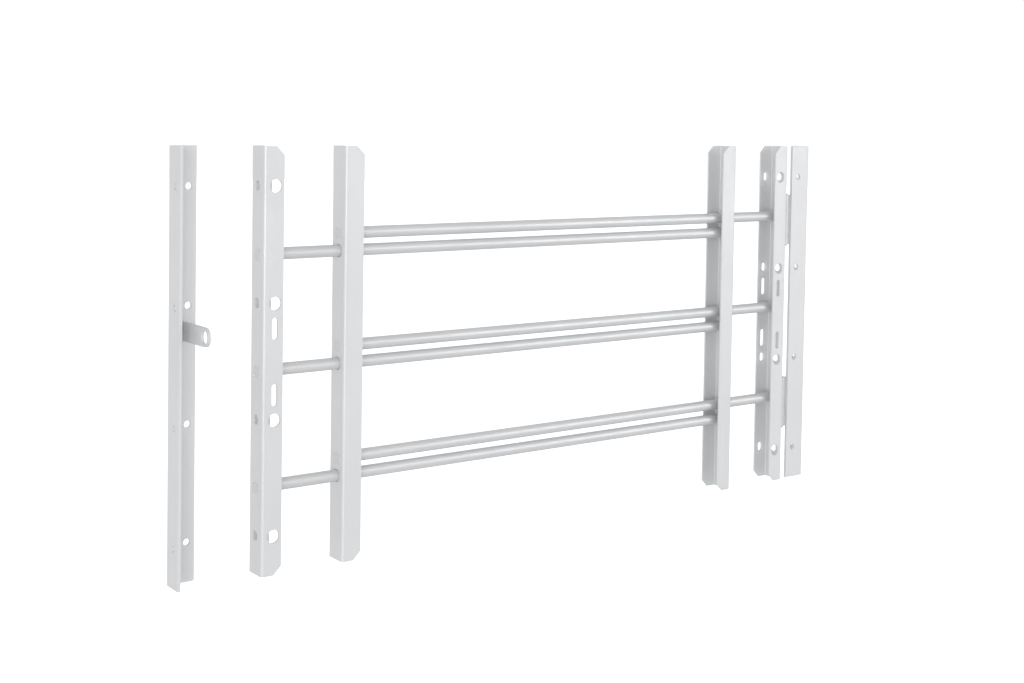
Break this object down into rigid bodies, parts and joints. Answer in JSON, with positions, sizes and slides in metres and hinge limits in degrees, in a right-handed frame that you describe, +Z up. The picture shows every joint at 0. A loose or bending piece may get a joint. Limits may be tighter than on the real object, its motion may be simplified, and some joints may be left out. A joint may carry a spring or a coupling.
{
  "type": "window security bar",
  "caption": "Telescoping window security guard of round bars in steel channels, hinged on a jamb angle, with a padlock tab on the other angle.",
  "frame": {"origin": "on the face of the hinge jamb, against the hinge angle's jamb leg, in the plane of the bars and level with the middle of the guard", "axes": "+X across the window towards the hinge jamb, +Y out through the window, away from the room, +Z up"},
  "size_m": [0.8763, 0.0602, 0.4318],
  "materials": {
    "steel_paint": "light silver-grey satin coat on sheet and angle steel",
    "bar_paint": "light silver-grey satin coat on round bar, a little glossier",
    "hinge_paint": "light silver-grey satin coat on hinge leaves and welds",
    "pin_steel": "zinc-plated pin ends with a faint yellow tint"
  },
  "bodies": {
    "lock_side": {"lock_angle": "steel_paint", "padlock_tab": "steel_paint"},
    "lock_half": {"lock_channel": "steel_paint", "lock_end_channel": "steel_paint", "lock_bar_top": "bar_paint", "lock_bar_middle": "bar_paint", "lock_bar_bottom": "bar_paint"},
    "hinge_half": {"hinge_channel": "steel_paint", "hinge_end_channel": "steel_paint", "hinge_bar_top": "bar_paint", "hinge_bar_middle": "bar_paint", "hinge_bar_bottom": "bar_paint", "top_channel_leaf": "hinge_paint", "bottom_channel_leaf": "hinge_paint", "channel_leaf_welds": "hinge_paint"},
    "jamb_side": {"hinge_angle": "steel_paint", "top_angle_leaf": "hinge_paint", "bottom_angle_leaf": "hinge_paint", "angle_leaf_welds": "hinge_paint", "top_pin": "pin_steel", "bottom_pin": "pin_steel"}
  },
  "joints": [
    {"name": "guard_swing", "type": "hinge", "parent": "jamb_side", "child": "hinge_half", "pos_m": [-0.0403, -0.0095, 0], "axis": [0, 0, 1], "range_deg": [0, 130]},
    {"name": "telescope", "type": "slide", "parent": "hinge_half", "child": "lock_half", "axis": [-1, 0, 0], "range_m": [-0.07, 0.5155]},
    {"name": "window_width", "type": "slide", "parent": "jamb_side", "child": "lock_side", "axis": [-1, 0, 0], "range_m": [-0.07, 0.5155]}
  ],
  "couplings": [
    {"joint": "window_width", "follows": "telescope", "ratio": 1}
  ]
}
